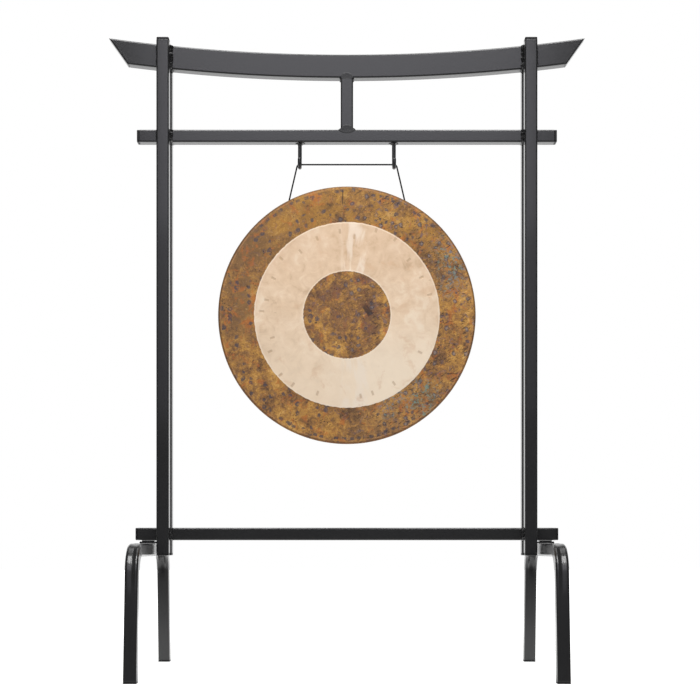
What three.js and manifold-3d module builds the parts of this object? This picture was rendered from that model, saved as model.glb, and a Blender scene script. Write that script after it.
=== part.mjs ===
// Gate-shaped gong stand with its gong: a welded frame of square steel tube on two bent feet.
// Millimetres. +X runs to the right, +Y to the back and +Z up. The origin is on the floor, in the middle.
import * as THREE from "three";
import { mergeVertices } from "three/addons/utils/BufferGeometryUtils.js";
import Module from "manifold-3d";

const wasm = await Module();
wasm.setup();

// Square tube that the posts, beams and feet are made of
const tubeSide = 31.75;
const tubeWall = 2;
const tubeCorner = 4;

// Seats and cuts
const seatGap = 0.3;
const plugClear = 0.3;
const cutOverrun = 20;

// Posts, two tubes on each side with the beams held between them
const postX = 465;
const postBelowBar = 31;
const postAboveCrest = 34.2;
const postCapHeight = 6.5;

// Straight beams: the rail over the feet, and the tie beam with a window between it and the top beam
const railLift = 8;
const railOverhang = 17;
const tieOverhang = 54;
const windowHeight = 131.55;
const beamCapHeight = 6.5;

// Curved top beam, a rectangular tube rolled to an arc and cut slantwise
const crestHeight = 59.5;
const crestRadius = 4430;
const crestTipOverhang = 125;
const crestHeelOverhang = 78;
const crestPlate = 2.5;

// Plastic plugs in the tube ends
const capBevel = 1.2;
const plugLength = 16;
const plugWall = 1.6;
const finHeight = 0.9;
const finThickness = 1.4;
const finShares = [0.3, 0.72];

// Feet, each one tube bent to an arch
const footClear = 8.75;
const footBarTop = 327;
const footBend = 62;
const footTopSpread = 285;
const footFloorSpread = 318;
const glideFlange = 4;

// Saddle plate between a foot and the rail
const saddleThickness = 3.8;
const saddleWidth = 48;
const saddleOverhang = 2.2;
const saddleLip = 2.8;

// Hooks under the tie beam
const hookX = 120;
const hookRod = 5;
const hookThroat = 12;
const hookDrop = 69;
const hookTipHeight = 28;
const hookWeldRadius = 12.5;
const hookWeldHeight = 6.5;
const hookWeldLip = 1.2;

// Cord
const cordRadius = 2;
const knotRadius = 5.5;

// Gong, and the free space over the rail and under the tie beam in which it hangs
const gongRadius = 327.5;
const gongAboveRail = 212.75;
const gongBelowTie = 113.5;
const gongSheet = 2;
const gongRim = 2.6;
const gongRimDepth = 55;
const gongRimLean = 4;
const gongCorner = 6;
const gongCrown = 2;
const gongLip = 1.3;
const gongHoleRadius = 3.5;
const gongHoleDepth = 10;
const gongHoleAngle = THREE.MathUtils.degToRad(26.8);

// Facets
const cornerSteps = 1;
const bevelSteps = 2;
const bendSteps = 7;
const crestSteps = 20;
const rodSides = 12;
const cordSides = 8;
const wrapSteps = 5;
const gongSides = 96;
const gongBendSteps = 3;
const crownSteps = 3;
const weldSteps = 3;

// Places across that follow, from the middle of the stand
const tubeHalf = tubeSide / 2;
const boreSide = tubeSide - 2 * tubeWall;
const boreCorner = tubeCorner - tubeWall;
const postY = tubeSide + seatGap;
const postReach = postX + tubeHalf;
const footX = postX + tubeSide + footClear;
const footReach = footX + tubeHalf;
const railReach = footReach + railOverhang;
const saddleReach = footReach + saddleOverhang;
const tieReach = postReach + tieOverhang;
const crestTipReach = postReach + crestTipOverhang;
const crestHeelReach = postReach + crestHeelOverhang;

// Heights that follow, from the floor up
const footBarZ = footBarTop - tubeHalf;
const postBottom = footBarTop - postBelowBar;
const railBottom = footBarTop + railLift;
const gongCentre = railBottom + tubeSide + gongAboveRail + gongRadius;
const tieBottom = gongCentre + gongRadius + gongBelowTie;
const crestBottom = tieBottom + tubeSide + windowHeight;
const postTop = crestBottom + crestHeight + postAboveCrest;

// The hooks' bend and the cord that lies in it
const hookCentre = hookRod + hookThroat / 2;
const hookBottom = tieBottom - hookDrop;
const wrapRadius = hookRod + seatGap + cordRadius;
const wrapZ = hookBottom + hookRod;
const cordY = -hookCentre;
const cordZ = wrapZ + wrapRadius;

const blackPaint = new THREE.MeshStandardMaterial({ color: 0x2b2b2d, roughness: 0.42, metalness: 0.2 });
const blackPlastic = new THREE.MeshStandardMaterial({ color: 0x1d1d1f, roughness: 0.6, metalness: 0 });
const blackCord = new THREE.MeshStandardMaterial({ color: 0x161616, roughness: 0.85, metalness: 0 });
const gongBronze = new THREE.MeshStandardMaterial({ color: 0xa8813f, roughness: 0.45, metalness: 0.8 });

// The stand's two sides, seen from the front
const sides = [
  { side: -1, sideName: "left" },
  { side: 1, sideName: "right" },
];

// A closed mesh becomes a solid that can be joined and cut
function solidOf(geometry) {
  const bare = geometry.clone();
  bare.deleteAttribute("normal");
  bare.deleteAttribute("uv");
  const merged = mergeVertices(bare, 1e-4);
  const vertProperties = merged.attributes.position.array;
  const triVerts = new Uint32Array(merged.index.array);
  return new wasm.Manifold(new wasm.Mesh({ numProp: 3, vertProperties, triVerts }));
}

function geometryOf(solid) {
  const mesh = solid.getMesh();
  const geometry = new THREE.BufferGeometry();
  geometry.setAttribute("position", new THREE.BufferAttribute(mesh.vertProperties, mesh.numProp));
  geometry.setIndex(new THREE.BufferAttribute(mesh.triVerts, 1));
  geometry.computeVertexNormals();
  return geometry;
}

function namedMesh(name, geometry, material) {
  const mesh = new THREE.Mesh(geometry, material);
  mesh.name = name;
  return mesh;
}

// A rectangle with round corners, centred on zero
function traceRectangle(path, width, height, corner) {
  const x = width / 2 - corner;
  const y = height / 2 - corner;
  const quarter = Math.PI / 2;
  path.moveTo(x + corner, -y);
  path.lineTo(x + corner, y);
  path.absarc(x, y, corner, 0, quarter, false);
  path.lineTo(-x, y + corner);
  path.absarc(-x, y, corner, quarter, 2 * quarter, false);
  path.lineTo(-x - corner, -y);
  path.absarc(-x, -y, corner, 2 * quarter, 3 * quarter, false);
  path.lineTo(x, -y - corner);
  path.absarc(x, -y, corner, 3 * quarter, 4 * quarter, false);
  return path;
}

function solidSection(width, height, corner) {
  return traceRectangle(new THREE.Shape(), width, height, corner);
}

function tubeSection(width, height) {
  const section = solidSection(width, height, tubeCorner);
  section.holes.push(
    traceRectangle(new THREE.Path(), width - 2 * tubeWall, height - 2 * tubeWall, boreCorner),
  );
  return section;
}

function roundSection(radius) {
  const section = new THREE.Shape();
  section.absarc(0, 0, radius, 0, 2 * Math.PI, false);
  return section;
}

// A path given by stations, with one step along each straight run and several in each bend
class StationPath extends THREE.Curve {
  constructor(stations) {
    super();
    this.stations = stations;
  }

  stationAt(share) {
    const last = this.stations.length - 1;
    return this.stations[Math.min(last, Math.round(share * last))];
  }

  getPoint(share) {
    return this.stationAt(share).point.clone();
  }

  getSpacedPoints() {
    return this.stations.map((station) => station.point.clone());
  }

  getTangentAt(share) {
    return this.stationAt(share).tangent.clone();
  }
}

function sweep(section, stations, curveSegments) {
  const extrudePath = new StationPath(stations);
  return new THREE.ExtrudeGeometry(section, { steps: stations.length - 1, curveSegments, extrudePath });
}

// Stations along straight runs between corners, with each corner rounded to one radius
function bentStations(corners, radius, steps) {
  const stations = [];
  corners.forEach((corner, index) => {
    const before = corners[index - 1];
    const after = corners[index + 1];
    if (!before || !after) {
      const tangent = before ? corner.clone().sub(before) : after.clone().sub(corner);
      stations.push({ point: corner.clone(), tangent: tangent.normalize() });
      return;
    }
    const entry = corner.clone().sub(before).normalize();
    const exit = after.clone().sub(corner).normalize();
    const turn = entry.angleTo(exit);
    const setback = radius * Math.tan(turn / 2);
    const inward = exit.clone().sub(entry.clone().multiplyScalar(Math.cos(turn))).normalize();
    const start = corner.clone().addScaledVector(entry, -setback);
    for (let step = 0; step <= steps; step += 1) {
      const angle = (turn * step) / steps;
      const point = start.clone();
      point.addScaledVector(entry, radius * Math.sin(angle));
      point.addScaledVector(inward, radius * (1 - Math.cos(angle)));
      const tangent = entry.clone().multiplyScalar(Math.cos(angle));
      tangent.addScaledVector(inward, Math.sin(angle));
      stations.push({ point, tangent });
    }
  });
  return stations;
}

// A box with its lowest corner and size given
function boxSolid(low, size) {
  const box = new THREE.BoxGeometry(size.x, size.y, size.z);
  box.translate(low.x + size.x / 2, low.y + size.y / 2, low.z + size.z / 2);
  return solidOf(box);
}

function extrudeUp(section, height) {
  return new THREE.ExtrudeGeometry(section, { depth: height, bevelEnabled: false, curveSegments: cornerSteps });
}

// A tube plug: a flange that covers the tube's end and a ribbed hollow body inside its bore.
// The tube ends at height zero and the flange lies above it.
function plugGeometry(flangeHeight) {
  const flange = new THREE.ExtrudeGeometry(solidSection(tubeSide, tubeSide, tubeCorner), {
    depth: flangeHeight - 2 * capBevel,
    bevelThickness: capBevel,
    bevelSize: capBevel,
    bevelOffset: -capBevel,
    bevelSegments: bevelSteps,
    curveSegments: cornerSteps,
  });
  flange.translate(0, 0, seatGap + capBevel);
  const finSide = boreSide - 2 * plugClear;
  const bodySide = finSide - 2 * finHeight;
  const coreSide = bodySide - 2 * plugWall;
  const body = extrudeUp(solidSection(bodySide, bodySide, boreCorner - finHeight), plugLength + seatGap + capBevel);
  body.translate(0, 0, -plugLength);
  const core = extrudeUp(solidSection(coreSide, coreSide, boreCorner / 2), cutOverrun + plugLength);
  core.translate(0, 0, -plugLength - cutOverrun);
  let plug = solidOf(flange).add(solidOf(body));
  finShares.forEach((share) => {
    const fin = extrudeUp(solidSection(finSide, finSide, boreCorner - plugClear), finThickness);
    fin.translate(0, 0, -plugLength * share - finThickness);
    plug = plug.add(solidOf(fin));
  });
  return geometryOf(plug.subtract(solidOf(core)));
}

// The two posts of one side, each with a plug at both ends
function postPair(side, sideName) {
  const group = new THREE.Group();
  const bottom = postBottom + postCapHeight + seatGap;
  const top = postTop - postCapHeight - seatGap;
  const layers = [
    { layer: "front", y: -postY },
    { layer: "rear", y: postY },
  ];
  layers.forEach(({ layer, y }) => {
    const post = namedMesh(
      `post_${layer}_${sideName}`,
      extrudeUp(tubeSection(tubeSide, tubeSide), top - bottom),
      blackPaint,
    );
    post.position.set(side * postX, y, bottom);
    const topCap = namedMesh(`post_top_cap_${layer}_${sideName}`, plugGeometry(postCapHeight), blackPlastic);
    topCap.position.set(side * postX, y, top);
    const bottomCap = namedMesh(
      `post_bottom_cap_${layer}_${sideName}`,
      plugGeometry(postCapHeight),
      blackPlastic,
    );
    bottomCap.position.set(side * postX, y, bottom);
    bottomCap.rotation.x = Math.PI;
    group.add(post, topCap, bottomCap);
  });
  return group;
}

// A level beam that reaches past the posts on both sides, with a plug in each end
function levelBeam(name, reach, bottom) {
  const group = new THREE.Group();
  const half = reach - beamCapHeight - seatGap;
  const beam = namedMesh(name, extrudeUp(tubeSection(tubeSide, tubeSide), 2 * half), blackPaint);
  beam.rotation.y = Math.PI / 2;
  beam.position.x = -half;
  sides.forEach(({ side, sideName }) => {
    const cap = namedMesh(`${name}_cap_${sideName}`, plugGeometry(beamCapHeight), blackPlastic);
    cap.rotation.y = (side * Math.PI) / 2;
    cap.position.x = side * half;
    group.add(cap);
  });
  group.add(beam);
  group.position.z = bottom + tubeHalf;
  return group;
}

// The heights of the top beam's lower and upper face at a distance from the middle
function crestUnderside(x) {
  const outer = crestRadius + crestHeight / 2;
  return crestBottom + outer - Math.sqrt(outer * outer - x * x);
}

function crestTopside(x) {
  const inner = crestRadius - crestHeight / 2;
  return crestBottom + crestHeight + inner - Math.sqrt(inner * inner - x * x);
}

// A slab of some depth along the slanted plane that ends the beam, from an inset behind its tip and heel outward
function slantWedge(side, inset, depth) {
  const tip = new THREE.Vector2(crestTipReach, crestTopside(crestTipReach));
  const heel = new THREE.Vector2(crestHeelReach, crestUnderside(crestHeelReach));
  const along = tip.clone().sub(heel).normalize();
  const inward = new THREE.Vector2(-along.y, along.x);
  const low = heel.clone().addScaledVector(along, -crestHeight).addScaledVector(inward, inset);
  const high = tip.clone().addScaledVector(along, crestHeight).addScaledVector(inward, inset);
  const outline = new THREE.Shape();
  outline.moveTo(side * low.x, low.y);
  outline.lineTo(side * high.x, high.y);
  high.addScaledVector(inward, -depth);
  low.addScaledVector(inward, -depth);
  outline.lineTo(side * high.x, high.y);
  outline.lineTo(side * low.x, low.y);
  const wedge = extrudeUp(outline, 2 * tubeSide);
  wedge.rotateX(Math.PI / 2);
  wedge.translate(0, tubeSide, 0);
  return solidOf(wedge);
}

// Stations along the top beam's arc, past the longer of its two faces
function crestStations() {
  const stations = [];
  const reach = Math.max(crestTipReach, crestHeelReach) + cutOverrun;
  const span = Math.asin(reach / crestRadius);
  const centre = crestBottom + crestHeight / 2 + crestRadius;
  for (let step = 0; step <= crestSteps; step += 1) {
    const angle = span * ((2 * step) / crestSteps - 1);
    stations.push({
      point: new THREE.Vector3(crestRadius * Math.sin(angle), 0, centre - crestRadius * Math.cos(angle)),
      tangent: new THREE.Vector3(Math.cos(angle), 0, Math.sin(angle)),
    });
  }
  return stations;
}

// The top beam, open at its slanted ends, and the plate that closes each end
function topBeam() {
  const group = new THREE.Group();
  const beyond = 2 * crestHeight;
  const stations = crestStations();
  const filled = solidOf(sweep(solidSection(tubeSide, crestHeight, tubeCorner), stations, cornerSteps));
  let beam = solidOf(sweep(tubeSection(tubeSide, crestHeight), stations, cornerSteps));
  sides.forEach(({ side, sideName }) => {
    beam = beam.subtract(slantWedge(side, crestPlate + seatGap, beyond));
    const plate = filled.intersect(slantWedge(side, crestPlate, crestPlate));
    group.add(namedMesh(`top_beam_end_${sideName}`, geometryOf(plate), blackPaint));
  });
  group.add(namedMesh("top_beam", geometryOf(beam), blackPaint));
  return group;
}

function centreStrut() {
  const bottom = tieBottom + tubeSide + seatGap;
  const height = crestBottom - seatGap - bottom;
  const strut = namedMesh("centre_strut", extrudeUp(tubeSection(tubeSide, tubeSide), height), blackPaint);
  strut.position.z = bottom;
  return strut;
}

// The point on a leg's centre line at a height, for the foot whose bar lies at x zero
function legPoint(front, z) {
  const share = 1 - z / footBarZ;
  const spread = footTopSpread + (footFloorSpread - footTopSpread) * share;
  return new THREE.Vector3(0, front * spread, z);
}

// A glide: a flat pad on the floor and a plug that follows the leg's slope
function glideGeometry(front) {
  const pad = extrudeUp(solidSection(tubeSide, tubeSide, tubeCorner), glideFlange);
  const start = legPoint(front, glideFlange / 2);
  const end = legPoint(front, glideFlange + plugLength);
  pad.translate(start.x, start.y, 0);
  const plugSide = boreSide - 2 * plugClear - finHeight;
  const tangent = end.clone().sub(start).normalize();
  const stations = [
    { point: start, tangent },
    { point: end, tangent },
  ];
  const plug = sweep(solidSection(plugSide, plugSide, boreCorner / 2), stations, cornerSteps);
  return geometryOf(solidOf(pad).add(solidOf(plug)));
}

function foot(side, sideName) {
  const group = new THREE.Group();
  const corners = [
    legPoint(-1, -cutOverrun),
    new THREE.Vector3(0, -footTopSpread, footBarZ),
    new THREE.Vector3(0, footTopSpread, footBarZ),
    legPoint(1, -cutOverrun),
  ];
  const stations = bentStations(corners, footBend, bendSteps);
  const arch = solidOf(sweep(tubeSection(tubeSide, tubeSide), stations, cornerSteps));
  const reach = footFloorSpread + tubeSide;
  const below = boxSolid(
    new THREE.Vector3(-tubeSide, -reach, -2 * cutOverrun),
    new THREE.Vector3(2 * tubeSide, 2 * reach, 2 * cutOverrun + glideFlange + seatGap),
  );
  group.add(namedMesh(`foot_${sideName}`, geometryOf(arch.subtract(below)), blackPaint));
  group.add(namedMesh(`foot_glide_front_${sideName}`, glideGeometry(-1), blackPlastic));
  group.add(namedMesh(`foot_glide_rear_${sideName}`, glideGeometry(1), blackPlastic));
  group.position.x = side * footX;
  return group;
}

// The saddle plate: flat on the foot's bar, with a block up to the rail and a rolled outer lip
function saddle(side, sideName) {
  const inner = postX + tubeHalf + seatGap;
  const length = saddleReach - inner;
  const blockHeight = railBottom - footBarTop - 2 * seatGap;
  const plate = boxSolid(
    new THREE.Vector3(inner, -saddleWidth / 2, 0),
    new THREE.Vector3(length, saddleWidth, saddleThickness),
  );
  const lip = new THREE.CylinderGeometry(saddleLip, saddleLip, saddleWidth, rodSides);
  lip.translate(saddleReach, 0, saddleThickness / 2);
  const block = boxSolid(
    new THREE.Vector3(footX - tubeHalf, -tubeHalf, 0),
    new THREE.Vector3(tubeSide, tubeSide, blockHeight),
  );
  const geometry = geometryOf(plate.add(solidOf(lip)).add(block));
  const mesh = namedMesh(`foot_saddle_${sideName}`, geometry, blackPaint);
  mesh.rotation.z = side > 0 ? 0 : Math.PI;
  mesh.position.z = footBarTop + seatGap;
  return mesh;
}

// A hook: a rod bent to a J that opens to the front, flared at its top by the weld that holds it
function hook(side, sideName) {
  const top = hookDrop - seatGap;
  const down = new THREE.Vector3(0, 0, -1);
  const stations = [{ point: new THREE.Vector3(0, 0, top), tangent: down }];
  const turns = 2 * bendSteps;
  const bendZ = hookRod + hookCentre;
  for (let step = 0; step <= turns; step += 1) {
    const angle = (Math.PI * step) / turns;
    stations.push({
      point: new THREE.Vector3(
        0,
        hookCentre * (Math.cos(angle) - 1),
        bendZ - hookCentre * Math.sin(angle),
      ),
      tangent: new THREE.Vector3(0, -Math.sin(angle), -Math.cos(angle)),
    });
  }
  const tipZ = hookTipHeight - hookRod;
  stations.push({ point: new THREE.Vector3(0, -2 * hookCentre, tipZ), tangent: down.clone().negate() });
  const rod = solidOf(sweep(roundSection(hookRod), stations, rodSides / 2));
  const nose = new THREE.SphereGeometry(hookRod, rodSides, rodSides / 2);
  nose.rotateX(Math.PI / 2);
  nose.translate(0, -2 * hookCentre, tipZ);
  const profile = [new THREE.Vector2(0, -hookWeldHeight)];
  for (let step = 0; step <= weldSteps; step += 1) {
    const angle = (Math.PI * step) / (2 * weldSteps);
    profile.push(
      new THREE.Vector2(
        hookRod + (hookWeldRadius - hookRod) * (1 - Math.cos(angle)),
        -hookWeldLip - (hookWeldHeight - hookWeldLip) * (1 - Math.sin(angle)),
      ),
    );
  }
  profile.push(new THREE.Vector2(hookWeldRadius, 0));
  profile.push(new THREE.Vector2(0, 0));
  const weld = new THREE.LatheGeometry(profile, 2 * rodSides);
  weld.rotateX(Math.PI / 2);
  weld.translate(0, 0, top);
  const mesh = namedMesh(
    `hook_${sideName}`,
    geometryOf(rod.add(solidOf(nose)).add(solidOf(weld))),
    blackPaint,
  );
  mesh.position.set(side * hookX, 0, hookBottom);
  return mesh;
}

// The middle of a rim hole, in the sheet's thickness, seen from the gong's centre
function holeMiddle(side) {
  const radius = gongRadius - gongRim / 2 - (gongRimLean * gongHoleDepth) / gongRimDepth;
  return new THREE.Vector3(side * radius * Math.sin(gongHoleAngle), 0, radius * Math.cos(gongHoleAngle));
}

// The cord runs level from hook to hook, wraps over each rod and drops to the rim holes, where it turns inward
function hangingCord() {
  const hole = holeMiddle(1).add(new THREE.Vector3(0, 0, gongCentre));
  const radial = new THREE.Vector3(Math.sin(gongHoleAngle), 0, Math.cos(gongHoleAngle));
  const mouth = hole.clone().addScaledVector(radial, gongRim / 2);
  const knot = hole.clone().addScaledVector(radial, -knotRadius - seatGap * 2 - gongRim / 2);
  const fromWrap = new THREE.Vector3(mouth.x - hookX, 0, mouth.z - wrapZ);
  const drop = Math.sqrt(fromWrap.lengthSq() - wrapRadius * wrapRadius);
  const turn = Math.atan2(-fromWrap.z, fromWrap.x) + Math.atan2(wrapRadius, drop);
  const half = [
    { point: knot, tangent: radial.clone() },
    { point: mouth, tangent: new THREE.Vector3(-Math.cos(turn), 0, Math.sin(turn)).add(radial).normalize() },
  ];
  for (let step = 0; step <= wrapSteps; step += 1) {
    const angle = turn * (1 - step / wrapSteps);
    half.push({
      point: new THREE.Vector3(
        hookX + wrapRadius * Math.sin(angle),
        0,
        wrapZ + wrapRadius * Math.cos(angle),
      ),
      tangent: new THREE.Vector3(-Math.cos(angle), 0, Math.sin(angle)),
    });
  }
  const mirrored = half.map(({ point, tangent }) => ({
    point: new THREE.Vector3(-point.x, point.y, point.z),
    tangent: new THREE.Vector3(tangent.x, tangent.y, -tangent.z),
  }));
  const stations = [...half, ...mirrored.reverse()];
  let cord = solidOf(sweep(roundSection(cordRadius), stations, cordSides / 2));
  [-1, 1].forEach((side) => {
    const ball = new THREE.SphereGeometry(knotRadius, rodSides, cordSides);
    ball.translate(side * knot.x, 0, knot.z);
    cord = cord.add(solidOf(ball));
  });
  const mesh = namedMesh("cord", geometryOf(cord), blackCord);
  mesh.position.y = cordY;
  return mesh;
}

// The gong: a slightly crowned sheet whose rim is turned back, with a hole near the top on each side
function gongGeometry() {
  const face = [];
  const inside = [];
  const faceEdge = gongRadius - gongCorner;
  for (let step = 0; step <= crownSteps; step += 1) {
    const share = step / crownSteps;
    const rise = gongCrown * (1 - share * share);
    face.push(new THREE.Vector2(faceEdge * share, -rise));
    inside.push(new THREE.Vector2(faceEdge * share, gongSheet - rise));
  }
  const outerBend = [];
  const innerBend = [];
  const innerCorner = new THREE.Vector2(gongRadius - gongRim, gongSheet);
  const across = gongCorner - gongRim;
  const along = gongCorner - gongSheet;
  for (let step = 1; step <= gongBendSteps; step += 1) {
    const angle = (Math.PI * step) / (2 * gongBendSteps);
    const sin = Math.sin(angle);
    const cos = Math.cos(angle);
    outerBend.push(new THREE.Vector2(faceEdge + gongCorner * sin, gongCorner * (1 - cos)));
    innerBend.push(new THREE.Vector2(innerCorner.x - across * (1 - sin), innerCorner.y + along * (1 - cos)));
  }
  const backRadius = gongRadius - gongRimLean;
  const lip = [
    new THREE.Vector2(backRadius, gongRimDepth - gongLip),
    new THREE.Vector2(backRadius - gongLip, gongRimDepth),
    new THREE.Vector2(backRadius - gongRim, gongRimDepth - gongLip),
  ];
  const profile = [...face, ...outerBend, ...lip, ...innerBend.reverse(), ...inside.reverse()];
  const disc = new THREE.LatheGeometry(profile, gongSides);
  let solid = solidOf(disc);
  [-1, 1].forEach((side) => {
    const drill = new THREE.CylinderGeometry(gongHoleRadius, gongHoleRadius, 2 * cutOverrun, rodSides);
    drill.rotateX(Math.PI / 2);
    drill.rotateY(side * gongHoleAngle);
    const middle = holeMiddle(side);
    drill.translate(middle.x, gongHoleDepth, middle.z);
    solid = solid.subtract(solidOf(drill));
  });
  return geometryOf(solid);
}

function gong() {
  const mesh = namedMesh("gong", gongGeometry(), gongBronze);
  mesh.position.set(0, cordY - gongHoleDepth, gongCentre);
  return mesh;
}

const gongStand = new THREE.Group();
sides.forEach(({ side, sideName }) => {
  gongStand.add(postPair(side, sideName), foot(side, sideName), saddle(side, sideName), hook(side, sideName));
});
gongStand.add(levelBeam("bottom_rail", railReach, railBottom));
gongStand.add(levelBeam("tie_beam", tieReach, tieBottom));
gongStand.add(topBeam(), centreStrut(), hangingCord(), gong());

export default gongStand;
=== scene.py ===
"""Looks of the gong stand: welded square tube, plastic plugs, a twisted cord and a bronze gong."""

import math
import random

import bmesh
import bpy
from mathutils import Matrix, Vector, noise


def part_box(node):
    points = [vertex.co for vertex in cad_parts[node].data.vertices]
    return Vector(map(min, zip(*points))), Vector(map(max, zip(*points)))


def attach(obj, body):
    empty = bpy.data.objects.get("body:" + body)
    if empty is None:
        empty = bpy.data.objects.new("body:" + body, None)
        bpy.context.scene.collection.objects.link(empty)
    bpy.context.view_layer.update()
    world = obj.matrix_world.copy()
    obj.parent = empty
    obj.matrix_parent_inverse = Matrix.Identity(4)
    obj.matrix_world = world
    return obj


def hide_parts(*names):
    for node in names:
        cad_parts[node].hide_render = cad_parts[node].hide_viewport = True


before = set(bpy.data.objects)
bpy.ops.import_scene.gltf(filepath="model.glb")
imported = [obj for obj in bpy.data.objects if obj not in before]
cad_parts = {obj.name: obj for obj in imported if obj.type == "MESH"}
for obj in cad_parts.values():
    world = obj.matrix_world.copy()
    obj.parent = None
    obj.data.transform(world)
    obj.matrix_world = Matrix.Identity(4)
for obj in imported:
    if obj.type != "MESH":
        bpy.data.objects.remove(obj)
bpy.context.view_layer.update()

MM = 0.001
X_AXIS = Vector((1, 0, 0))
Y_AXIS = Vector((0, 1, 0))
Z_AXIS = Vector((0, 0, 1))
SIDES = (("left", -1), ("right", 1))
LAYERS = (("front", -1), ("rear", 1))

# Camera: a level front view, in the photograph's own pixels
PHOTO_SIDE = 700
FOCAL_PIXELS = 1448
VANISHING_X = 346.9
VANISHING_Y = 543
CAMERA_AWAY = 3.698
CAMERA_HEIGHT = 0.328
SENSOR_WIDTH = 36

# Square tube
WALL = 2 * MM
CORNER = 4 * MM
LEAST_CORNER = 0.15 * MM
CORNER_STEPS = 5
TUBE_EDGE = 0.8 * MM
EDGE_BULGE = 0.3
SEAT_GAP = 0.3 * MM

# Plugs in the tube ends
PLUG_DEPTH = 16 * MM
PLUG_EDGE = 1.5 * MM
PLUG_EDGE_STEPS = 5
PLUG_DOME = 0.5 * MM
PLUG_DOME_STEPS = 8
PLUG_DOME_REACH = 0.98
PLUG_SET_BACK = 0.4 * MM
FIN_HEIGHT = 0.9 * MM
FIN_THICKNESS = 1.4 * MM
FIN_SHARES = (0.3, 0.72)

# Top beam, rolled to an arc, and the plates on its slanted ends
CREST_HEIGHT = 59.5 * MM
CREST_RADIUS = 4.43
CREST_TIP_OVERHANG = 125 * MM
CREST_HEEL_OVERHANG = 78 * MM
CREST_STATIONS = 80
CREST_PLATE = 2.5 * MM
PLATE_EDGE = 0.5 * MM
PLATE_BACK_EDGE = 0.3 * MM

# Feet
FOOT_BEND = 62 * MM
FOOT_TOP_SPREAD = 285 * MM
FOOT_FLOOR_SPREAD = 318 * MM
FOOT_STEP = 4 * MM
FOOT_FLATS = 10
LEG_STEEPNESS = 0.9
LEG_LEVEL_HEIGHT = 0.2

# Sunken walls of the feet's bends, outside and inside: depth, half the floor, half the width, fade
BEND_SINK = (2.6 * MM, 5.8 * MM)
BEND_FLOOR = (0, 3 * MM)
BEND_CREST = (12.6 * MM, 10.2 * MM)
BEND_FADE = (58 * MM, 30 * MM)
BEND_SHOULDER = 9 * MM
BEND_SHOULDER_SINK = 0.55
BEND_SIDE_SHARE = 0.2

# Glides, with their rounded edges in millimetres: how far from the end, and how far in
GLIDE_FLANGE = 4 * MM
GLIDE_FLOOR_EDGE = ((0, 0.8), (0.25, 0.25), (0.8, 0))
GLIDE_TOP_EDGE = ((0.5, 0), (0.15, 0.15), (0, 0.5))

# Saddle plates and their blocks
SADDLE_THICKNESS = 3.8 * MM
SADDLE_LIP = 2.8 * MM
SADDLE_LIP_TURN = math.radians(137)
SADDLE_LIP_STEPS = 14
SADDLE_BLOCK_EDGE = 0.5 * MM

# Hooks
HOOK_ROD = 5 * MM
HOOK_THROAT = 12 * MM
HOOK_BEND = HOOK_ROD + HOOK_THROAT / 2
HOOK_BEND_ROOM = 0.9999
HOOK_TIP_HEIGHT = 28 * MM
HOOK_SIDES = 32
HOOK_STEPS = 90
HOOK_TIP_STEPS = 10
HOOK_DENT = 0.12 * MM
HOOK_WELD_RADIUS = 12.5 * MM
HOOK_WELD_HEIGHT = 6.5 * MM
HOOK_WELD_LIP = 1.2 * MM
HOOK_WELD_STEPS = 13
HOOK_WELD_SIDES = 72

# Cord and its knots
CORD_RADIUS = 2 * MM
CORD_LAY = 12 * MM
CORD_STRANDS = 3
CORD_SIDES = 21
CORD_STEP = 0.5 * MM
STRAND_DEPTH = 0.12
KNOT_RADIUS = 5.5 * MM
KNOT_STEPS = 150
KNOT_SIDES = 14

# Gong
GONG_SHEET = 2 * MM
GONG_RIM = 2.6 * MM
GONG_RIM_LEAN = 4 * MM
GONG_RIM_STEPS = 12
GONG_CORNER = 6 * MM
GONG_CORNER_STEPS = 10
GONG_CROWN = 2 * MM
GONG_LIP = 1.3 * MM
GONG_LIP_STEPS = 8
GONG_HOLE_RADIUS = 3.5 * MM
GONG_HOLE_DEPTH = 10 * MM
GONG_HOLE_ANGLE = math.radians(26.8)
GONG_SPOKES = 240
GONG_RINGS = 110
DENT_DEPTH = 0.55 * MM
DRILL_REACH = 20 * MM
DRILL_SIDES = 24

# Scraped ring on the gong's face, the painted highlight lines along its edges, its dashes, and the dashes
# near the rim
RING_OUTER = 235.8 * MM
RING_INNER = 110.7 * MM
RING_BLUR = 0.3 * MM
RING_SCALLOP = 4 * MM
EDGE_HIGHLIGHT_INSET = 2 * MM
EDGE_HIGHLIGHT_REACH = 1.6 * MM
RING_DASHES = 26
RIM_DASHES = 104
GRAIN_GIRTH = 0.3

# Marks on the gong's face: middle and reach across, then upward. The smear is turned by a slant
TOP_SCRATCH = (-0.0107, 0.0014, 0.298, 0.022)
LEVEL_SCRATCH = (0.2655, 0.018, -0.1495, 0.0012)
FLECK = (-0.079, 0.004, -0.02, 0.0026)
SMEAR = (0.05, 0.009, 0.036, 0.04)
SMEAR_SLANT = (0.826, 0.564)
GREEN_FOOT = (0.155, 0.1, -0.215, 0.065)

# Weld beads
BEAD_INSIDE = 6.5 * MM
BEAD_OUTSIDE = 4.2 * MM
BEAD_STRUT_TOP = 2.2 * MM
BEAD_STRUT_FOOT = 4 * MM
BEAD_STRUT_INSET = 2 * MM
BEAD_PAST_CREST = 1.5 * MM
BEAD_PAST_TUBE = 0.5 * MM
BEAD_RIPPLE = 4.2 * MM
BEAD_STEP = 0.7 * MM
BEAD_SIDES = 12

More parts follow.
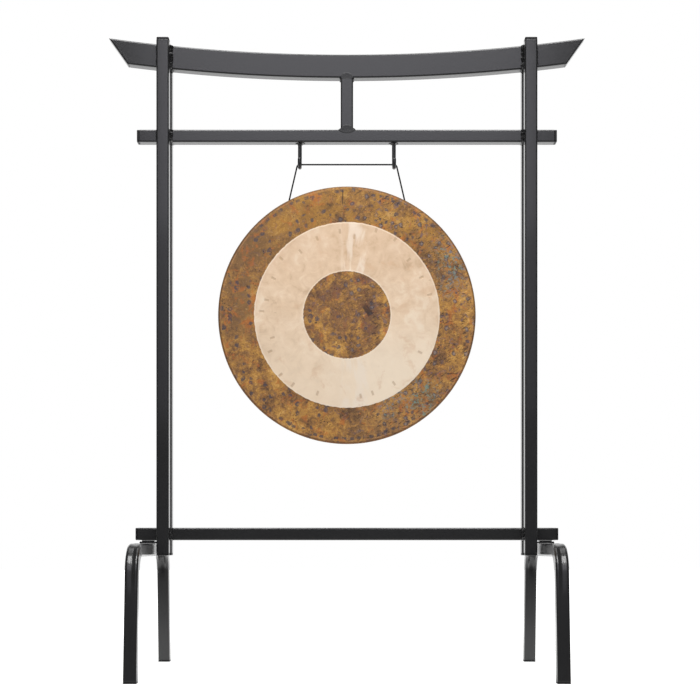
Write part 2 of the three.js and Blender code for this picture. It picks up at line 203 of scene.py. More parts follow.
# Ground welds at the strut's ends: how far out as a share, and how proud in millimetres
GROUND_SECTION = (
    (1.03, -0.3), (1, 0), (0.95, 0.12), (0.88, 0.25),
    (0.8, 0.27), (0.62, 0.14), (0.36, 0.03), (0.04, 0.02),
)
GROUND_SIDES = 96
GROUND_ARCH = 14 * MM
GROUND_ARCH_FOOT = 3 * MM
GROUND_APRON = (21 * MM, 10 * MM)
GROUND_TONGUE = 12 * MM
GROUND_INSET = 1.2 * MM

# Floor and room, and where they look dim in the paint's reflections
FLOOR_REACH = 14
FLOOR_CELLS = 28
FLOOR_GLOW = (0.3, 0.7)
FLOOR_SHADOW_LIFT = 0.14
FRONT_DIM = (-0.75, 0.45)
BACK_DIM = (1.5, 3.5)
BACK_DIM_SHARE = 0.4
BACKDROP_FROM = 0.62
BACKDROP_TO = 0.86
ROOM_SHINE = 0.05
ROOM_LIGHT = 0.8

# Soft boxes: place, target, width, height, watts and tint
COOL = (0.97, 0.96, 1.06)
PLAIN = (1, 1, 1)
LAMPS = {
    "upper_camera_box": ((0, -4.1, 2.95), (0, 0, 2.95), 2.2, 1.9, 18, COOL),
    "lower_camera_box": ((0, -4.1, 1.5), (0, 0, 1.5), 2.2, 1.0, 3.2, COOL),
    "key_box_left": ((-0.62, -2.3, 4.35), (-0.3, 0, 0.6), 0.75, 2.4, 64, PLAIN),
    "key_box_right": ((0.62, -2.3, 4.35), (0.3, 0, 0.6), 0.75, 2.4, 64, PLAIN),
    "top_box": ((0, 0.8, 3.8), (0, 0, 0.8), 2.6, 1.6, 24, PLAIN),
}

post_low, post_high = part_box("post_front_right")
rail_low, rail_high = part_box("bottom_rail")
tie_low, tie_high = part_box("tie_beam")
crest_low, crest_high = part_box("top_beam")
strut_low, strut_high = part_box("centre_strut")
gong_low, gong_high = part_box("gong")

TUBE = post_high.x - post_low.x
HALF = TUBE / 2
POST_REACH = post_high.x
CREST_CENTRE = crest_low.z + CREST_HEIGHT / 2 + CREST_RADIUS
GONG_CENTRE = Vector((0, 0, (gong_low.z + gong_high.z) / 2))
GONG_RADIUS = (gong_high.z - gong_low.z) / 2
GONG_FRONT = gong_low.y + GONG_CROWN
GONG_RIM_DEPTH = gong_high.y - GONG_FRONT


def srgb(red, green, blue):
    """A colour as it looks on a screen, from 0 to 255, in the linear values that shaders take."""
    linear = []
    for level in (red, green, blue):
        share = level / 255
        linear.append(share / 12.92 if share <= 0.04045 else ((share + 0.055) / 1.055) ** 2.4)
    return (*linear, 1)


class Wire:
    """A shader socket. Python's operators on it add Math nodes."""

    def __init__(self, finish, socket):
        self.finish = finish
        self.socket = socket

    def maths(self, operation, *values):
        return self.finish.node("ShaderNodeMath", {"operation": operation}, dict(enumerate(values)))

    def output(self, name):
        return Wire(self.finish, find_socket(self.socket.node.outputs, name))

    def __add__(self, other):
        return self.maths("ADD", self, other)

    __radd__ = __add__

    def __sub__(self, other):
        return self.maths("SUBTRACT", self, other)

    def __rsub__(self, other):
        return self.maths("SUBTRACT", other, self)

    def __mul__(self, other):
        return self.maths("MULTIPLY", self, other)

    __rmul__ = __mul__

    def most(self, *others):
        """The greatest of several values."""
        greatest = self
        for other in others:
            greatest = self.maths("MAXIMUM", greatest, other)
        return greatest

    def above(self, low, high):
        """0 under the low value, 1 over the high one and smooth between them."""
        ends = {"Value": self, "From Min": low, "From Max": high}
        return self.finish.node("ShaderNodeMapRange", {"interpolation_type": "SMOOTHSTEP"}, ends)

    def below(self, low, high):
        return 1 - self.above(low, high)

    def near(self, middle, reach, solid=0.6):
        """1 around a middle value, fading out between the solid share of the reach and its end."""
        away = self - middle
        return away.maths("ABSOLUTE", away).below(solid * reach, reach)


def find_socket(sockets, key):
    if isinstance(key, int):
        return sockets[key]
    return next(socket for socket in sockets if key in (socket.identifier, socket.name))


class Finish:
    """One material, made node by node."""

    def __init__(self, name, data=None):
        self.data = data or bpy.data.materials.new(name)
        self.data.use_nodes = True
        self.tree = self.data.node_tree
        self.tree.nodes.clear()

    def node(self, kind, settings=None, values=None, output=0):
        node = self.tree.nodes.new(kind)
        for name, setting in (settings or {}).items():
            if name == "stops":
                self.set_stops(node.color_ramp, setting)
            else:
                setattr(node, name, setting)
        for key, value in (values or {}).items():
            socket = find_socket(node.inputs, key)
            if isinstance(value, Wire):
                self.tree.links.new(value.socket, socket)
            else:
                socket.default_value = value
        return Wire(self, find_socket(node.outputs, output)) if node.outputs else None

    def set_stops(self, ramp, stops):
        while len(ramp.elements) < len(stops):
            ramp.elements.new(1)
        for element, (place, colour) in zip(ramp.elements, stops):
            element.position = place
            element.color = colour

    def place(self):
        return self.node("ShaderNodeTexCoord", output="Object")

    def grain(self, place, scale, detail=3, rough=0.5, bend=0.0):
        values = {"Vector": place, "Scale": scale, "Detail": detail}
        return self.node("ShaderNodeTexNoise", None, {**values, "Roughness": rough, "Distortion": bend})

    def cells(self, place, scale):
        """The distance to a cell's middle. The node's colour is the cell's own chance."""
        return self.node("ShaderNodeTexVoronoi", None, {"Vector": place, "Scale": scale})

    def mix(self, share, first, second):
        values = {"Factor_Float": share, "A_Color": first, "B_Color": second}
        return self.node("ShaderNodeMix", {"data_type": "RGBA"}, values, "Result_Color")

    def stains(self, colour, layers):
        """A colour with others laid over it, one after another."""
        for share, tint in layers:
            colour = self.mix(share, colour, tint)
        return colour

    def ramp(self, share, stops):
        return self.node("ShaderNodeValToRGB", {"stops": stops}, {"Fac": share})

    def vector(self, operation, *values, output=0):
        return self.node("ShaderNodeVectorMath", {"operation": operation}, dict(enumerate(values)), output)

    def stretch(self, place, *factors):
        return self.vector("MULTIPLY", place, factors)

    def length(self, vector):
        return self.vector("LENGTH", vector, output="Value")

    def split(self, vector):
        """A vector's X. The node's other outputs are its Y and Z."""
        return self.node("ShaderNodeSeparateXYZ", None, {"Vector": vector})

    def chance(self, source):
        """The red of a node's colour, from 0 to 1. Its green and blue are two more chances."""
        return self.node("ShaderNodeSeparateColor", None, {"Color": source.output("Color")})

    def bump(self, height, distance, strength=1.0):
        values = {"Height": height, "Distance": distance, "Strength": strength}
        return self.node("ShaderNodeBump", None, values)

    def surface(self, values):
        shader = self.node("ShaderNodeBsdfPrincipled", None, values)
        self.node("ShaderNodeOutputMaterial", None, {"Surface": shader})
        return self.data


def powder_coat(name, pale, roughness, peel_depth, coat):
    """Black powder coat: faint orange peel, slow changes of gloss and a little dust."""
    finish = Finish(name)
    place = finish.place()
    cloud = finish.grain(place, 7)
    peel = finish.grain(place, 620, 2)
    wave = finish.grain(place, 160, 2)
    speck = finish.cells(place, 260).below(0.05, 0.13) * finish.grain(place, 30).above(0.55, 0.7)
    colour = finish.mix(cloud, srgb(19, 19, 20), pale)
    return finish.surface({
        "Base Color": finish.mix(speck * 0.35, colour, srgb(64, 64, 66)),
        "Roughness": roughness + 0.1 * (cloud - 0.5) + 0.08 * (peel - 0.5) + 0.2 * speck,
        "Coat Weight": coat,
        "Coat Roughness": 0.12,
        "Normal": finish.bump(peel + wave, peel_depth),
    })


def moulded_plastic():
    finish = Finish("moulded_plastic")
    place = finish.place()
    cloud = finish.grain(place, 18)
    sand = finish.grain(place, 1400, 2)
    return finish.surface({
        "Base Color": finish.mix(cloud, srgb(14, 14, 15), srgb(22, 22, 23)),
        "Roughness": 0.38 + 0.14 * sand,
        "Specular IOR Level": 0.4,
        "Normal": finish.bump(sand, 0.05 * MM),
    })


def twisted_nylon():
    finish = Finish("twisted_nylon")
    place = finish.place()
    fibre = finish.grain(finish.stretch(place, 1, 3, 1), 1500, 4)
    dust = finish.grain(place, 90)
    return finish.surface({
        "Base Color": finish.mix(fibre * dust, srgb(5, 5, 5), srgb(19, 18, 18)),
        "Roughness": 0.76 + 0.2 * fibre,
        "Specular IOR Level": 0.2,
        "Normal": finish.bump(fibre, 0.12 * MM),
    })


def gong_place(finish):
    """A place as seen from the gong's middle: in full, flattened, and its distance on the face."""
    place = finish.vector("SUBTRACT", finish.place(), GONG_CENTRE)
    flat = finish.stretch(place, 1, 0, 1)
    return place, flat, finish.length(flat)


def around(finish, flat, distance, outward):
    """A place wound round the gong, so that grain runs in circles, as fine as outward says across them."""
    turn = finish.stretch(finish.vector("NORMALIZE", flat), GRAIN_GIRTH, GRAIN_GIRTH, GRAIN_GIRTH)
    height = finish.node("ShaderNodeCombineXYZ", None, {"Y": distance})
    return finish.vector("MULTIPLY_ADD", height, (0, outward, 0), turn)


def marks_round(finish, across, up, distance, count, low, spread, half_width, half_length, left_out):
    """Marks set round the gong: one in each of a circle's fields, shifted or left out by chance."""
    angle = across.maths("ARCTAN2", across, up) * (count / math.tau)
    field = angle.maths("FLOOR", angle)
    values = {"W": field + count}
    chance = finish.chance(finish.node("ShaderNodeTexWhiteNoise", {"noise_dimensions": "1D"}, values))
    sideways = angle - field - 0.25 - 0.5 * chance
    outward = distance - low - spread * chance.output("Green")
    kept = chance.output("Blue").above(left_out, left_out + 0.05)
    return sideways.near(0, half_width) * outward.near(0, half_length) * kept


def patch(across, up, middle_across, reach_across, middle_up, reach_up):
    """1 on a small oblong, by its middle and its reach in two ways."""
    return across.near(middle_across, reach_across) * up.near(middle_up, reach_up)


def patina(finish, flat, distance):
    """Heat-stained bronze: gold, rust and dull brown, slate spots, dark nicks and green flecks, with a
    painted highlight line and painted shade at the rim.
    """

    def grain(*values):
        return finish.grain(flat, *values)

    across = finish.split(flat)
    up = across.output("Z")
    right_side = across.above(-0.12, 0.16)
    centre = distance.below(0.1, 0.13)

    # The ground colour
    broad = grain(11, 4, 0.6, 0.5)
    middle = grain(36, 5, 0.66, 0.9)
    fine = grain(120, 5, 0.72, 0.7)
    sharp = grain(330, 3, 0.7)
    ground = finish.ramp(0.32 * broad + 0.28 * middle + 0.27 * fine + 0.13 * sharp, [
        (0.41, srgb(86, 64, 47)),
        (0.46, srgb(128, 92, 58)),
        (0.5, srgb(158, 115, 64)),
        (0.545, srgb(186, 138, 68)),
        (0.6, srgb(210, 166, 96)),
    ])

    # Heat stains, and a paler patch low on the right that is set by place alone
    gold = up.above(0.1, 0.26) * grain(17, 4, 0.6, 0.4).above(0.42, 0.56)
    warm_foot = up.below(-0.28, -0.1) * across.above(-0.05, 0.1)
    dull = across.below(-0.26, -0.1) * up.above(-0.1, 0) * grain(14, 3).above(0.36, 0.54)
    rust = grain(31, 5, 0.7, 0.9).above(0.53, 0.64)
    violet = grain(66, 5, 0.7, 1.0).above(0.54, 0.66)
    brown = centre * grain(27, 4, 0.66, 0.8).above(0.46, 0.56)
    pale = grain(170, 4, 0.75, 0.5).above(0.57, 0.68)

    # Slate spots, and the row of dashes near the rim
    stirred = finish.vector("MULTIPLY_ADD", middle.output("Color"), (0.016, 0.016, 0.016), flat)
    spot = finish.cells(stirred, 58)
    often = up.above(-0.1, 0.24) * right_side + 0.55 * grain(8, 2).above(0.45, 0.6)
    spots = spot.below(0.28, 0.4) * (finish.chance(spot) - 0.5 * often).below(0.18, 0.24)
    row = marks_round(finish, across, up, distance, RIM_DASHES, 0.311, 0.005, 0.36, 0.0044, 0.15)
    row_often = up.above(0.17, 0.23).most(up.below(-0.28, -0.22))
    row = row * (row_often * grain(9, 2).above(0.3, 0.42))
    marks = spots.most(row) * grain(150, 3).above(0.3, 0.5)
    slate = finish.mix(spot.below(0.14, 0.26) * right_side, srgb(78, 72, 78), srgb(142, 130, 126))

    # Dark nicks, strokes and single marks
    nicks = finish.cells(flat, 150).below(0.16, 0.3) * grain(24, 4, 0.6, 0.4).above(0.5, 0.6)
    turned = {"Vector": flat, "Angle": 0.6}
    turned = finish.node("ShaderNodeVectorRotate", {"rotation_type": "Y_AXIS"}, turned)
    strokes = finish.grain(finish.stretch(turned, 1, 1, 5), 52, 3, 0.6, 0.3).above(0.58, 0.64)
    level = finish.grain(finish.stretch(flat, 1, 1, 6), 46, 3, 0.6, 0.2).above(0.6, 0.66)
    slant_x, slant_y = SMEAR_SLANT
    smear = patch(slant_x * across + slant_y * up, slant_y * across - slant_x * up, *SMEAR)
    dark = nicks.most(
        strokes.most(level) * (0.25 + 0.75 * right_side),
        grain(210, 3, 0.7).above(0.63, 0.7),
        patch(across, up, *TOP_SCRATCH),
        patch(across, up, *LEVEL_SCRATCH),
        patch(across, up, *FLECK),
        smear * middle.above(0.44, 0.54),
    )

    # Green flecks, a painted highlight as a tan line inside the rim, and painted shade on the rim's edge
    green = grain(115, 5, 0.7, 0.7).above(0.5, 0.6) * grain(17, 2).above(0.4, 0.52)
    green_side = across.above(0.2, 0.26) * up.above(0.02, 0.08) * up.below(0.17, 0.22)
    green = green * green_side.most(patch(across, up, *GREEN_FOOT))
    tan_highlight_line = distance.near(0.3205, 0.0016) * grain(20, 3).above(0.4, 0.55)
    edge = distance.above(0.3215, 0.3245)

    colour = finish.stains(ground, (
        (gold * 0.45, srgb(190, 138, 50)),
        # Darker towards the top, then paler low on the right
        (up.above(0.06, 0.26) * 0.2, srgb(92, 72, 52)),
        (warm_foot * 0.24, srgb(196, 150, 94)),
        (dull * 0.75, srgb(122, 92, 62)),
        (rust * 0.6, srgb(184, 106, 50)),
        (violet * (0.26 + 0.44 * right_side.most(centre)), srgb(106, 90, 100)),
        (brown * 0.6, srgb(108, 78, 64)),
        (pale * 0.45, srgb(206, 164, 110)),
        (marks * 0.8, slate),
        (dark * 0.8, srgb(54, 44, 40)),
        (green * 0.7, finish.mix(broad.above(0.42, 0.56), srgb(114, 148, 138), srgb(112, 120, 130))),
        # Painted highlight: a tan line inside the rim; then painted shade on the rim's edge
        (tan_highlight_line * 0.4, srgb(190, 142, 100)),
        (edge * 0.6, srgb(112, 78, 52)),
    ))
    relief = 0.5 * middle + 0.35 * fine - 0.5 * marks - 0.6 * dark
    return colour, relief


def gong_front():
    """The struck face: patina outside and in the middle, with a scraped ring between them that carries
    painted highlights.
    """
    finish = Finish("gong_front")
    _, flat, distance = gong_place(finish)
    across = finish.split(flat)
    up = across.output("Z")
    stained, relief = patina(finish, flat, distance)

    scallop = finish.grain(around(finish, flat, distance, 0), 70, 3, 0.6)
    edge = distance + RING_SCALLOP * (scallop - 0.5)
    outer = edge.below(RING_OUTER - RING_BLUR, RING_OUTER + RING_BLUR)
    inner = edge.above(RING_INNER - RING_BLUR, RING_INNER + RING_BLUR)
    ring = outer * inner
    # Painted highlights: pale lines just inside both edges of the scraped ring
    outer_edge_highlight = edge.near(RING_OUTER - EDGE_HIGHLIGHT_INSET, EDGE_HIGHLIGHT_REACH)
    inner_edge_highlight = edge.near(RING_INNER + EDGE_HIGHLIGHT_INSET, EDGE_HIGHLIGHT_REACH)

    hair = finish.grain(around(finish, flat, distance, 0.05), 420, 2)
    ripple = finish.grain(around(finish, flat, distance, 0.35), 30, 3)
    cloud = finish.grain(flat, 9, 4, 0.6, 0.6)
    smudge = finish.grain(flat, 34, 5, 0.66, 0.8)
    scraped = finish.ramp(0.4 * cloud + 0.14 * ripple + 0.46 * smudge, [
        (0.38, srgb(210, 180, 147)),
        (0.46, srgb(228, 200, 168)),
        (0.54, srgb(237, 211, 181)),
        (0.62, srgb(245, 225, 199)),
    ])
    # Painted highlights on the ring: a pale patch low in the middle, and pale streaks up and down near the
    # vertical middle
    low_highlight = across.above(-0.08, 0.09) * up.below(-0.14, 0.02)
    highlight_streaks = across.near(0.02, 0.042) * ripple.above(0.45, 0.62)
    warm = finish.grain(flat, 22, 4, 0.6, 0.6).above(0.56, 0.68)
    dashes = marks_round(finish, across, up, distance, RING_DASHES, 0.198, 0.032, 0.07, 0.0076, 0.3)
    few = finish.cells(finish.stretch(flat, 0.45, 1, 1), 74)
    dashes = dashes.most(few.below(0.06, 0.15) * finish.chance(few).above(0.93, 0.95))
    scraped = finish.stains(scraped, (
        # Darker towards the top and paler towards the bottom
        (up.above(0.02, 0.2) * 0.3, srgb(206, 172, 138)),
        (up.below(-0.2, 0.06) * 0.7, srgb(252, 232, 205)),
        # Painted highlights: the pale patch low in the middle, then the pale streaks
        (low_highlight * 0.6, srgb(254, 238, 214)),
        (highlight_streaks * 0.55, srgb(248, 234, 216)),
        (warm * 0.4, srgb(222, 186, 150)),
        (dashes * 0.45, srgb(176, 142, 108)),
        # Painted highlight lines along the ring's two edges
        ((outer_edge_highlight + inner_edge_highlight) * 0.55, srgb(250, 232, 210)),
    ))
    scrape = 0.3 * hair + 0.5 * ripple + 0.5 * smudge - 0.8 * dashes
    height = relief * (1 - ring) + scrape * ring + 0.6 * ring
    return finish.surface({
        "Base Color": finish.mix(ring, stained, scraped),
        "Roughness": 0.52 + 0.12 * relief - 0.08 * ring,
        "Metallic": 0.5 + 0.12 * ring,
        "Normal": finish.bump(height, 0.35 * MM, 0.7),
    })


def gong_back():
    """The hidden face and the rim, with patina all over, and the patina's painted highlight line and
    painted shade at the rim.
    """
    finish = Finish("gong_back")
    place, _, distance = gong_place(finish)
    stained, relief = patina(finish, place, distance)
    return finish.surface({
        "Base Color": stained,
        "Roughness": 0.52 + 0.12 * relief,
        "Metallic": 0.55,
        "Normal": finish.bump(relief, 0.35 * MM, 0.7),
    })


def between(first, last, count):
    """The points inside a straight stretch that is cut into equal lengths."""
    steps = [index / count for index in range(1, count)]
    return [tuple(a + (b - a) * step for a, b in zip(first, last)) for step in steps]


def rounded(width, height, corner, flats=1):
    """The outline of a rectangle with round corners, for any inset from its surface."""

    def outline(inset):
        half_x = width / 2 - inset
        half_y = height / 2 - inset
        radius = min(max(corner - inset, LEAST_CORNER), half_x, half_y)
        points = []
        for quarter, (side_x, side_y) in enumerate(((1, -1), (1, 1), (-1, 1), (-1, -1))):
            centre_x = side_x * (half_x - radius)
            centre_y = side_y * (half_y - radius)
            arc = []
            for step in range(CORNER_STEPS + 1):
                angle = math.pi / 2 * (quarter - 1 + step / CORNER_STEPS)
                arc.append((centre_x + radius * math.cos(angle), centre_y + radius * math.sin(angle)))
            if points:
                points += between(points[-1], arc[0], flats)
            points += arc
        return points + between(points[-1], points[0], flats)

    return outline


def turns(count, shift=0):
    """The angles of equal steps round a circle."""
    return [2 * math.pi * (index + shift) / count for index in range(count)]


def circle(radius, sides):
    def outline(inset):
        reach = radius - inset
        return [(reach * math.cos(turn), reach * math.sin(turn)) for turn in turns(sides)]

    return outline


def quarter_turn(first, steps):
    """The sine and cosine at equal steps of a quarter turn, from a first step on."""
    angles = [math.pi / 2 * step / steps for step in range(first, steps + 1)]
    return [(math.sin(angle), math.cos(angle)) for angle in angles]


def straight(origin, along, across, up):
    """A place on a straight run: its distance along it, across it and up from it."""

    def at(distance, sideways, upward):
        return origin + along * distance + across * sideways + up * upward

    return at


def rings_along(at, outline, steps):
    """Rings at given distances, each with the outline inset by its own amount."""
    return [[at(distance, *point) for point in outline(inset)] for distance, inset in steps]


def skin(rings, loop=False):
    """Faces between rings of points, closed at both ends or back on themselves."""
    count = len(rings[0])
    faces = []
    for row in range(len(rings) if loop else len(rings) - 1):
        here = row * count
        there = (row + 1) % len(rings) * count
        for index in range(count):
            following = (index + 1) % count
            faces.append((here + index, here + following, there + following, there + index))
    if not loop:
        faces.append(tuple(range(count)))
        faces.append(tuple(range((len(rings) - 1) * count, len(rings) * count)))
    return [point for ring in rings for point in ring], faces


def joined(skins):
    """Several closed skins as the points and faces of one mesh."""
    points = []
    faces = []
    for more_points, more_faces in skins:
        start = len(points)
        points += more_points
        faces += [tuple(start + index for index in face) for face in more_faces]
    return points, faces


def placed(name, data):
    """A new object in the scene."""
    made = bpy.data.objects.new(name, data)
    bpy.context.scene.collection.objects.link(made)
    return made


def shape(name, skins, finishes, sharp=35, flat_faces=True):
    """A mesh object with its faces turned outward."""
    mesh = bpy.data.meshes.new(name)
    points, faces = joined(skins)
    mesh.from_pydata(points, [], faces)
    whole = bmesh.new()
    whole.from_mesh(mesh)
    bmesh.ops.recalc_face_normals(whole, faces=whole.faces)
    whole.to_mesh(mesh)
    whole.free()
    for finish in finishes:
        mesh.materials.append(finish)
    mesh.shade_smooth()
    mesh.set_sharp_from_angle(angle=math.radians(sharp))
    made = placed(name, mesh)
    if flat_faces:
        modifier = made.modifiers.new("flat faces", "WEIGHTED_NORMAL")
        modifier.keep_sharp = True
    return made


def seat(made, body, slot, *nodes):
    """The piece rides on a body and stands for its nodes, whose parts are hidden. The slot is not used."""
    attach(made, body)
    if nodes:
        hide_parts(*nodes)


def steel(name, skins, finish, *nodes, flat_faces=True):
    """A painted piece of the stand."""
    seat(shape(name, skins, [finish], flat_faces=flat_faces), "stand", "black_paint", *nodes)


def tube_rings(at, stations, outline):
    """A hollow tube's rings: outside with rounded end edges, then back along its bore."""
    first = stations[0]
    last = stations[-1]
    bulge = EDGE_BULGE * TUBE_EDGE
    outside = [(first, TUBE_EDGE), (first + bulge, bulge), (first + TUBE_EDGE, 0)]
    outside += [(station, 0) for station in stations[1:-1]]
    outside += [(last - TUBE_EDGE, 0), (last - bulge, bulge), (last, TUBE_EDGE)]
    inside = [(station, WALL) for station in reversed(stations)]
    return rings_along(at, outline, outside + inside)


def tube(node, way, across, up, finish):
    """A straight tube as long as its node's box. Returns the middles of its ends."""
    low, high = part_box(node)
    middle = (low + high) / 2
    ends = [middle + way * (corner - middle).dot(way) for corner in (low, high)]
    at = straight(ends[0], way, across, up)
    rings = tube_rings(at, [0, (high - low).dot(way)], rounded(TUBE, TUBE, CORNER))
    steel(node + "_tube", [skin(rings, loop=True)], finish, node)
    return ends


def plug(node, end, way, across, up, finish):
    """A ribbed plug: its body lies below height zero, in the tube, and its domed flange above."""
    flange = max(corner.dot(way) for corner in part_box(node)) - end.dot(way)
    bore = WALL + SEAT_GAP
    body = bore + FIN_HEIGHT
    steps = [(-PLUG_DEPTH, body + SEAT_GAP), (-PLUG_DEPTH + SEAT_GAP, body)]
    for share in reversed(FIN_SHARES):
        low = -PLUG_DEPTH * share - FIN_THICKNESS
        high = low + FIN_THICKNESS
        steps += [(low, body), (low, bore), (high, bore), (high, body)]
    steps += [(SEAT_GAP, body), (SEAT_GAP, PLUG_SET_BACK + SEAT_GAP), (2 * SEAT_GAP, PLUG_SET_BACK)]
    for sin, cos in quarter_turn(0, PLUG_EDGE_STEPS):
        steps.append((flange - PLUG_DOME - PLUG_EDGE * (1 - sin), PLUG_SET_BACK + PLUG_EDGE * (1 - cos)))
    inset = PLUG_SET_BACK + PLUG_EDGE
    for step in range(1, PLUG_DOME_STEPS):
        share = step / PLUG_DOME_STEPS
        rise = flange - PLUG_DOME * (1 - share) ** 2
        steps.append((rise, inset + (HALF - inset) * share * PLUG_DOME_REACH))
    rings = rings_along(straight(end, way, across, up), rounded(TUBE, TUBE, CORNER), steps)
    seat(shape(node + "_plug", [skin(rings)], [finish]), "stand", "black_plastic", node)


def build_posts(paint, plastic):
    for side_name, _ in SIDES:
        for layer, _ in LAYERS:
            foot, head = tube(f"post_{layer}_{side_name}", Z_AXIS, X_AXIS, Y_AXIS, paint)
            for end_name, end, way in (("top", head, Z_AXIS), ("bottom", foot, -Z_AXIS)):
                plug(f"post_{end_name}_cap_{layer}_{side_name}", end, way, X_AXIS, Y_AXIS, plastic)


def build_level_beams(paint, plastic):
    for node in ("bottom_rail", "tie_beam"):
        ends = tube(node, X_AXIS, Y_AXIS, Z_AXIS, paint)
        for (side_name, side), end in zip(SIDES, ends):
            plug(f"{node}_cap_{side_name}", end, X_AXIS * side, Y_AXIS, Z_AXIS, plastic)
    tube("centre_strut", Z_AXIS, X_AXIS, Y_AXIS, paint)


def crest_cut(depth, radius):
    """The angle at which an arc of some radius meets the slanted plane that ends the top beam."""
    tip_x = POST_REACH + CREST_TIP_OVERHANG
    heel_x = POST_REACH + CREST_HEEL_OVERHANG
    inner = CREST_RADIUS - CREST_HEIGHT / 2
    outer = CREST_RADIUS + CREST_HEIGHT / 2
    tip_z = -math.sqrt(inner ** 2 - tip_x ** 2)
    heel_z = -math.sqrt(outer ** 2 - heel_x ** 2)
    facing = math.atan2(tip_z - heel_z, tip_x - heel_x) - math.pi / 2
    plane = heel_x * math.cos(facing) + heel_z * math.sin(facing) - depth
    return facing + math.asin(plane / radius)


def crest_at(station, depth, across, outward):
    """A place in the rolled beam, from -1 to 1 between planes that lie some depth in its two ends."""
    radius = CREST_RADIUS + outward
    angle = crest_cut(depth, radius) * station
    return Vector((radius * math.sin(angle), across, CREST_CENTRE - radius * math.cos(angle)))


def build_crest(paint):
    outline = rounded(TUBE, CREST_HEIGHT, CORNER)
    edge = 2 * TUBE_EDGE / (crest_high.x - crest_low.x)
    stations = [2 * index / CREST_STATIONS - 1 for index in range(CREST_STATIONS + 1)]
    steps = [(-1, TUBE_EDGE), (-1 + edge, 0)] + [(station, 0) for station in stations[1:-1]]
    steps += [(1 - edge, 0), (1, TUBE_EDGE)] + [(station, WALL) for station in reversed(stations)]
    seam = CREST_PLATE + SEAT_GAP
    rings = rings_along(lambda station, *point: crest_at(station, seam, *point), outline, steps)
    steel("top_beam_tube", [skin(rings, loop=True)], paint, "top_beam")
    bulge = EDGE_BULGE * PLATE_EDGE
    steps = [(0, PLATE_EDGE), (bulge, bulge), (PLATE_EDGE, 0)]
    steps += [(CREST_PLATE - PLATE_BACK_EDGE, 0), (CREST_PLATE, PLATE_BACK_EDGE)]
    for side_name, side in SIDES:
        node = f"top_beam_end_{side_name}"
        rings = rings_along(lambda depth, *point: crest_at(side, depth, *point), outline, steps)
        steel(node + "_plate", [skin(rings)], paint, node)


class Route:
    """Straight runs between corners, with each corner rounded to its own radius."""

    def __init__(self, corners, radii):
        self.runs = []
        start = corners[0]
        for index, radius in enumerate(radii, 1):
            corner = corners[index]
            entry = (corner - corners[index - 1]).normalized()
            leave = (corners[index + 1] - corner).normalized()
            turn = entry.angle(leave)
            setback = radius * math.tan(turn / 2)
            arc_start = corner - entry * setback
            self.add_run(start, entry, (arc_start - start).length)
            inward = (leave - entry * math.cos(turn)).normalized()
            self.runs.append((radius * turn, arc_start, entry, inward, radius))
            start = corner + leave * setback
        self.add_run(start, (corners[-1] - start).normalized(), (corners[-1] - start).length)
        self.length = sum(run[0] for run in self.runs)

    def add_run(self, start, way, length):
        self.runs.append((length, start, way, None, 0))

    def stations(self, count):
        return [self.length * index / count for index in range(count + 1)]

    def where(self, distance):
        """The place and the direction at a distance along the route."""
        passed = 0
        for index, (length, start, entry, inward, radius) in enumerate(self.runs):
            if distance <= passed + length or index == len(self.runs) - 1:
                break
            passed += length
        along = distance - passed
        if inward is None:
            return start + entry * along, entry
        angle = along / radius
        place = start + entry * radius * math.sin(angle) + inward * radius * (1 - math.cos(angle))
        return place, entry * math.cos(angle) + inward * math.sin(angle)

    def bends(self):
        """Each bend's middle, as a distance along the route, and half its length."""
        passed = 0
        middles = []
        for length, _, _, inward, _ in self.runs:
            if inward is not None:
                middles.append((passed + length / 2, length / 2))
            passed += length
        return middles


def leg_place(middle_x, bar_z, front, height):
    """A point on a leg's centre line at a height."""
    share = 1 - height / bar_z
    spread = FOOT_TOP_SPREAD + (FOOT_FLOOR_SPREAD - FOOT_TOP_SPREAD) * share
    return Vector((middle_x, front * spread, height))


def foot_at(route, floor_z):
    """A place in a foot's tube, whose walls are sunken in its bends and whose legs end level."""
    bends = route.bends()

    def at(distance, across, outward):
        place, way = route.where(distance)
        side = (X_AXIS - way * way.x).normalized()
        out = side.cross(way)
        inner = 0 if outward > 0 else 1
        bend = 0
        for middle, half in bends:
            reach = half + BEND_FADE[inner]
            bend = max(bend, (1 - min(abs(distance - middle) / reach, 1) ** 2) ** 2)
        face = 1 - 2 * inner
        depth = min(abs(outward) / HALF + BEND_SIDE_SHARE, 1)
        slope = (abs(across) - BEND_FLOOR[inner]) / (BEND_CREST[inner] - BEND_FLOOR[inner])
        valley = math.cos(math.pi / 2 * min(max(slope, 0), 1)) ** 2
        past = max(abs(across) - (HALF - BEND_SHOULDER), 0)
        shoulder = BEND_SHOULDER - math.sqrt(max(BEND_SHOULDER ** 2 - past ** 2, 0))
        if abs(outward) > HALF - WALL - CORNER:
            outward -= face * bend * depth * BEND_SINK[inner] * valley
        if abs(outward) > HALF - CORNER:
            outward -= face * bend * min(BEND_SHOULDER_SINK * shoulder, abs(outward) - (HALF - CORNER))
        spot = place + side * across + out * outward
        steep = max(abs(way.z) - LEG_STEEPNESS, 0) / (1 - LEG_STEEPNESS)
        steep *= max(1 - (place.z - floor_z) / LEG_LEVEL_HEIGHT, 0)
        return spot + way * ((place.z - spot.z) / way.z * min(steep, 1)) if steep else spot

    return at


